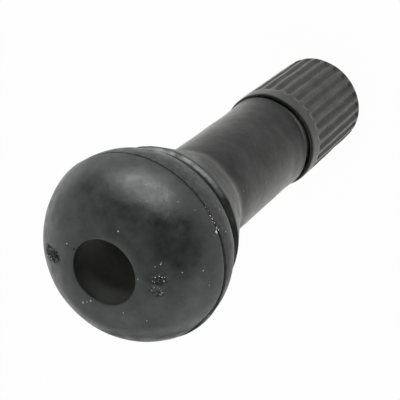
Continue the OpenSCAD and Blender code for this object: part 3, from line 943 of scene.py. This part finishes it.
def bulb_point(angle, radius=None, above=None):
    """Point of the bulb's outside at a radius of the dome, or at a height over the parting line."""
    if radius is not None:
        dome = dome_path()[::-1]
        r, z = radius, np.interp(radius, dome[:, 0], dome[:, 1])
    else:
        side = np.vstack([back_path(), dome_path()[1:DOME_STEPS // 2]])
        r, z = np.interp(PARTING_Z + above, side[:, 1], side[:, 0]), PARTING_Z + above
    turn = math.radians(angle)
    return Vector((r * math.cos(turn), r * math.sin(turn), z))


def crumb_places():
    """Places and sizes of all the crumbs."""
    places = [(bulb_point(a, radius=r), size) for a, r, size in DOME_SPECKS]
    places += [(bulb_point(a, above=h), size) for a, h, size in PARTING_NIBS]
    for middle, radius, along, across, strength in SCARS:
        for _ in range(round(FLECKS_PER_SCAR * (FLECKLESS_STRENGTH - strength))):
            turn = rng.uniform(0, 2 * math.pi)
            reach = FLECK_REACH * math.sqrt(rng.uniform(0, 1))
            angle = middle + math.degrees(across / radius) * reach * math.sin(turn)
            place = bulb_point(angle, radius=radius + along * reach * math.cos(turn))
            places.append((place, rng.uniform(*FLECK_SIZES)))
    return places


def crumbs(material):
    """Small uneven pebbles that sit half sunk in the rubber."""
    shape = bmesh.new()
    for place, size in crumb_places():
        length = size * rng.uniform(*CRUMB_LENGTHS)
        turn = Matrix.Rotation(rng.uniform(0, math.pi), 4, "Z")
        turn = turn @ Matrix.Rotation(rng.uniform(-CRUMB_TILT, CRUMB_TILT), 4, "Y")
        scale = Matrix.Diagonal((length * MM, size * MM, size * CRUMB_HEIGHT * MM, 1))
        matrix = Matrix.Translation(place * MM) @ turn @ scale
        made = bmesh.ops.create_icosphere(shape, subdivisions=2, radius=0.5, matrix=matrix)
        for vert in made["verts"]:
            vert.co += (vert.co - place * MM) * rng.uniform(-CRUMB_UNEVENNESS, CRUMB_UNEVENNESS)
            inward = min(1, BULB_LIMIT * MM / math.hypot(vert.co.x, vert.co.y))
            vert.co = (vert.co.x * inward, vert.co.y * inward, min(vert.co.z, FACE_Z * MM))
    mesh = bpy.data.meshes.new("bulb_crumbs")
    shape.to_mesh(mesh)
    shape.free()
    return finished(linked("bulb_crumbs", mesh), "valve", "rubber", material)


# Dust cap

# Columns of the mesh on each rib, and how the moulding sways: depth, wavelength and mean loss
COLUMNS_PER_RIB = 14
CAP_SWAY, CAP_SWAY_LENGTH, CAP_LOSS = 0.025, 3.0, 0.02


def cap_rows():
    """The cap's profile from the middle of its flat end, round the rim, to the middle of its roof."""
    outside = rounded_path([
        (CAP_POLE_R, CAP_END_Z, 0),
        (CAP_END_R, CAP_END_Z, CAP_END_ROUND),
        (CAP_R, FLUTES_TOP_Z, 0),
        (CAP_R, CAP_RIM_Z, CAP_RIM_ROUND),
        (CAP_MOUTH_R, CAP_RIM_Z, 0),
    ])
    thread_top = CAP_RIM_Z - CAP_COUNTERBORE_H
    inside = np.array([
        (CAP_MOUTH_R, CAP_RIM_Z),
        (CAP_MOUTH_R, CAP_RIM_Z - CAP_MOUTH_H),
        (CAP_BORE_R + CAP_COUNTERBORE_STEP, CAP_RIM_Z - CAP_MOUTH_H),
        (CAP_BORE_R + CAP_COUNTERBORE_STEP, thread_top),
        (CAP_BORE_R, thread_top - CAP_COUNTERBORE_STEP),
        (CAP_BORE_R, CAP_END_Z + CAP_ROOF_T),
        (CAP_POLE_R, CAP_END_Z + CAP_ROOF_T),
    ])
    side = ARC_POINTS
    collar = side + 1

    # Each stretch has the spacing of its own rows
    return joined(
        resample(outside[:2], 0.8),
        outside[1:side + 1],
        resample(outside[side:collar + 1], 0.25),
        resample(outside[collar:collar + 2], 0.2),
        outside[collar + 1:],
        resample(inside[:2], 0.2),
        resample(inside[1:3], 0.2),
        resample(inside[2:4], 0.3),
        resample(inside[3:5], 0.1),
        resample(inside[4:6], THREAD_PITCH / 12),
        resample(inside[5:], 0.8),
    )


def flute_wall(angles, heights):
    """Distance from the axis to the flutes' walls, or a large one between flutes."""
    pitch = 360 / FLUTE_COUNT
    across = np.radians((angles / pitch) % 1 - 0.5) * pitch
    lower, upper = FLUTE_END_RIM + FLUTE_R, FLUTES_TOP_Z - FLUTE_R
    taper = (CAP_R - CAP_END_R) / FLUTES_TOP_Z
    centre = CAP_R - FLUTE_DEPTH + FLUTE_R - taper * (upper - heights)
    past_end = heights - np.clip(heights, lower, upper)
    reach = np.sqrt(np.clip(FLUTE_R ** 2 - past_end ** 2, 0, None))
    side = centre * np.sin(np.abs(across))
    floor = centre * np.cos(across) - np.sqrt(np.clip(reach ** 2 - side ** 2, 0, None))
    return np.where(side < reach, floor, FAR_AWAY)


def soft_least(a, b, blend):
    """The smaller of two values, with a round changeover."""
    share = np.clip(0.5 + 0.5 * (b - a) / blend, 0, 1)
    return b + (a - b) * share - blend * share * (1 - share)


def dust_cap(material):
    """The cap with its rounded ribs outside and its thread inside."""
    rows = cap_rows()
    columns = FLUTE_COUNT * COLUMNS_PER_RIB
    angles = np.arange(columns) * 360 / columns
    radii = np.repeat(rows[:, :1], columns, 1)
    heights = rows[:, 1:]
    row = np.arange(len(rows))[:, None]
    rim_row = np.argmax(rows[:, 1] >= CAP_RIM_Z - TOUCH)
    outer = (row < rim_row) & (rows[:, :1] > RIBBED_FROM_R)
    fluted = outer & (heights < FLUTES_TOP_Z)
    radii = np.where(fluted, soft_least(radii, flute_wall(angles, heights), RIB_ROUND), radii)
    points = grid_points(radii, heights, angles)
    sway = CAP_SWAY * smooth_noise(points, CAP_SWAY_LENGTH) - CAP_LOSS
    radii = np.where(outer, np.minimum(radii + sway, CAP_R), radii)

    # The thread inside lies half a pitch away from the stem's
    threaded = (row > rim_row) & (np.abs(rows[:, :1] - CAP_BORE_R) < TOUCH)
    radii = np.where(threaded, radii - CAP_THREAD_DEPTH * thread_ridge(angles, heights, 0.5), radii)
    obj = grid_object("dust_cap_ribbed", grid_points(radii, heights, angles), False)
    return finished(obj, "cap", "cap_plastic", material, "dust_cap")


# Brass stem

# Spacing of the stem's columns in degrees
STEM_COLUMN_STEP = 3.0


def thread_ridge(angles, heights, shift):
    """Height of a right-hand thread's ridge, from 0 at its root to 1 at its crest."""
    phase = (heights - MOUTH_Z) / THREAD_PITCH - angles / 360 + shift
    wave = 1 - np.abs((phase % 1) * 2 - 1)
    return np.clip((wave - THREAD_ROOT_SHARE) / THREAD_FLANK_SHARE, 0, 1)


def stem_rows():
    """The stem's closed profile, with close rows along the thread."""
    under = stem_outside_path()
    inside = np.array([
        (FOOT_R, FOOT_Z),
        (PASSAGE_R + PASSAGE_CHAMFER, FOOT_Z),
        (PASSAGE_R, FOOT_Z - PASSAGE_CHAMFER),
        (PASSAGE_R, MOUTH_Z + SEAT_DEPTH + SEAT_LEN),
        (SEAT_TOP_R, MOUTH_Z + SEAT_DEPTH),
        (SEAT_TOP_R, MOUTH_Z + CHAMBER_LEN),
        (CHAMBER_R, MOUTH_Z + CHAMBER_LEN),
        (CHAMBER_R, MOUTH_Z + MOUTH_LEAD),
        (CHAMBER_R + MOUTH_LEAD, MOUTH_Z),
        (THREAD_R - MOUTH_CHAMFER, MOUTH_Z),
    ])
    thread = np.array([
        (THREAD_R - MOUTH_CHAMFER, MOUTH_Z),
        (THREAD_R, MOUTH_Z + MOUTH_CHAMFER),
        (THREAD_R, TAIL_Z),
    ])
    return joined(
        resample(thread[:2], 0.08),
        resample(thread[1:], THREAD_PITCH / 14),
        resample(under, 0.8),
        resample(inside, 0.6),
    )[:-1]


def brass_stem(material):
    """The stem with its outer thread, which fades out just short of the rubber's tail."""
    rows = stem_rows()
    angles = np.arange(0, 360, STEM_COLUMN_STEP)
    heights = rows[:, 1:]
    radii = np.repeat(rows[:, :1], len(angles), 1)
    outside = (np.arange(len(rows)) <= np.argmax(rows[:, 1] > TAIL_Z - TOUCH))[:, None]
    fade = np.clip((TAIL_Z - THREAD_FADE_GAP - heights) / THREAD_FADE, 0, 1)
    root = THREAD_R - THREAD_DEPTH * fade * (1 - thread_ridge(angles, heights, 0.0))
    radii = np.where(outside, np.minimum(radii, root), radii)
    obj = grid_object("brass_stem_threaded", grid_points(radii, heights, angles), True)
    return finished(obj, "valve", "brass", material, "brass_stem")


# Valve core's spring

def spring_coil(material):
    """The coil spring at its length in the frame; the real one shortens towards the barrel's end as the
    pin is pressed.
    """
    rings_per_turn, sides = 40, 12
    wire_r = SPRING_WIRE_D / 2
    turns = np.linspace(0, SPRING_TURNS, SPRING_TURNS * rings_per_turn + 1)
    low, high = SPRING_LOW_Z + wire_r, SPRING_HIGH_Z - wire_r
    closed = (low, low + SPRING_WIRE_D, high - SPRING_WIRE_D, high)
    middles = np.interp(turns, (0, 1, SPRING_TURNS - 1, SPRING_TURNS), closed)[:, None]
    around = np.arange(sides) * 2 * math.pi / sides
    radii = SPRING_R + wire_r * np.cos(around)
    heights = middles + wire_r * np.sin(around)
    angles = 2 * math.pi * turns[:, None]
    points = np.stack([radii * np.cos(angles), radii * np.sin(angles), heights], -1)
    index = np.arange(points.size // 3).reshape(points.shape[:2])
    near, far = index[:-1], index[1:]
    quads = np.stack([near, far, np.roll(far, -1, 1), np.roll(near, -1, 1)], -1).reshape(-1, 4)
    faces = quads.tolist() + [index[0].tolist(), index[-1, ::-1].tolist()]
    obj = smooth_object("core_spring_coil", points.reshape(-1, 3) * MM, faces)
    finished(obj, "valve", "steel", material, "core_spring")
    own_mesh(obj)
    return obj


# The model

rubber = rubber_material()
plastic = cap_material()
brass_look = (0.50, 0.31, 0.08), (0.66, 0.44, 0.14), (0.22, 0.36), 9.0
brass = metal_material("turned_brass", *brass_look)
stem_brass = metal_material("stem_brass", *brass_look, TAIL_Z - SHADE_BELOW_TAIL)
steel = metal_material("drawn_steel", (0.42, 0.42, 0.43), (0.56, 0.56, 0.57), (0.25, 0.4), 14.0)
seal = soft_material("seal_rubber", (0.012, 0.012, 0.012), (0.022, 0.022, 0.021), (0.5, 0.65))
ptfe = soft_material("ptfe", (0.70, 0.68, 0.62), (0.80, 0.78, 0.72), (0.35, 0.5))

rubber_body(rubber)
crumbs(crumb_material())
dust_cap(plastic)
brass_stem(stem_brass)
spring_coil(steel)

finishes = {"brass": brass, "steel": steel, "seal_rubber": seal, "ptfe": ptfe}
for part in frame["record"]["subparts"]:
    if part["material_slot"] in finishes:
        mesh = frame["nodes"][part["node"]].data
        mesh.materials.clear()
        mesh.materials.append(finishes[part["material_slot"]])


# Camera, from the photograph's viewing angle. Its place is in millimetres and its angles are in degrees.

PHOTO_PX = 400
FOCAL_PX = 2600
SENSOR_MM = 36
CAMERA_AT = (-0.344, -157.711, 221.541)
CAMERA_ELEVATION = 51.115
CAMERA_ROLL = -128.849

camera_data = bpy.data.cameras.new("photo_camera")
camera_data.sensor_width = SENSOR_MM
camera_data.lens = FOCAL_PX / PHOTO_PX * SENSOR_MM
camera_data.clip_start = 0.01
camera = linked("photo_camera", camera_data)
tilt = Matrix.Rotation(math.radians(90 - CAMERA_ELEVATION), 4, "X")
roll = Matrix.Rotation(math.radians(CAMERA_ROLL), 4, "Z")
camera.matrix_world = Matrix.Translation(Vector(CAMERA_AT) * MM) @ tilt @ roll
bpy.context.scene.camera = camera


# Floor, world and lamps

# Distances of the stage in metres, and how strong the world's light and the floor's shadows are
LAMP_DISTANCE = 0.5
FLOOR_HALF = 6.0
FLOOR_CORNERS = ((-1, -1), (1, -1), (1, 1), (-1, 1))
WORLD_STRENGTH = 0.10
SHADOW_SHARE = 0.03

# Lamps: name, azimuth and elevation in degrees, width and height in metres, and watts
LAMPS = (
    ("key_low", -46, 6, 0.62, 0.13, 1.72),
    ("key_mid", -50, 20, 0.50, 0.18, 0.90),
    ("left_low", 60, 10, 0.50, 0.18, 0.30),
    ("left", 85, 36, 0.60, 0.40, 0.68),
    ("left_front", 20, 35, 0.35, 0.30, 0.22),
    ("top", 0, 85, 0.30, 0.30, 0.20),
    ("back", 135, 30, 0.40, 0.50, 0.38),
    ("right_low", 182, 8, 0.50, 0.15, 0.38),
    ("right_high", 172, 42, 0.45, 0.45, 0.50),
)


def seen_rays(tree):
    """1 for rays from the camera and for reflected and transmitted rays, else 0."""
    path = tree.nodes.new("ShaderNodeLightPath")
    seen = greater(tree, path.outputs["Is Camera Ray"], path.outputs["Is Glossy Ray"])
    return greater(tree, seen, path.outputs["Is Transmission Ray"])


def floor_material(shadow_share):
    """White to the camera, with a share of the shaded floor so that shadows still show."""
    material = bpy.data.materials.new("white_floor")
    material.use_nodes = True
    tree = material.node_tree
    tree.nodes.clear()
    out = tree.nodes.new("ShaderNodeOutputMaterial")
    shaded = tree.nodes.new("ShaderNodeBsdfDiffuse")
    shaded.inputs["Color"].default_value = (0.9, 0.9, 0.9, 1)
    white = tree.nodes.new("ShaderNodeEmission")
    white.inputs["Strength"].default_value = 1.0
    share = maths(tree, "MULTIPLY", seen_rays(tree), 1 - shadow_share)
    mix = tree.nodes.new("ShaderNodeMixShader")
    tree.links.new(share, mix.inputs["Fac"])
    tree.links.new(shaded.outputs[0], mix.inputs[1])
    tree.links.new(white.outputs[0], mix.inputs[2])
    tree.links.new(mix.outputs[0], out.inputs["Surface"])
    return material


def plain_world(strength):
    """A plain soft light from all round."""
    world = bpy.data.worlds.new("studio")
    world.use_nodes = True
    background = world.node_tree.nodes["Background"]
    background.inputs["Color"].default_value = (1, 1, 1, 1)
    background.inputs["Strength"].default_value = strength
    bpy.context.scene.world = world


def lamp(name, azimuth, elevation, width, height, watts):
    """A soft box that faces the middle of the valve."""
    middle = Vector((0, 0, (CAP_END_Z + FACE_Z) / 2)) * MM
    a, e = math.radians(azimuth), math.radians(elevation)
    away = Vector((math.cos(e) * math.cos(a), math.cos(e) * math.sin(a), math.sin(e)))
    data = bpy.data.lights.new(name, "AREA")
    data.shape = "RECTANGLE"
    data.size = width
    data.size_y = height
    data.energy = watts
    obj = linked(name, data)
    obj.location = middle + away * LAMP_DISTANCE
    obj.rotation_euler = (-away).to_track_quat("-Z", "Y").to_euler()


floor_mesh = bpy.data.meshes.new("floor")
floor_mesh.from_pydata([(x * FLOOR_HALF, y * FLOOR_HALF, 0) for x, y in FLOOR_CORNERS], [], [(0, 1, 2, 3)])
floor_mesh.materials.append(floor_material(SHADOW_SHARE))
floor = linked("floor", floor_mesh)

plain_world(WORLD_STRENGTH)
for settings in LAMPS:
    lamp(*settings)

bpy.context.scene.view_settings.view_transform = "Standard"
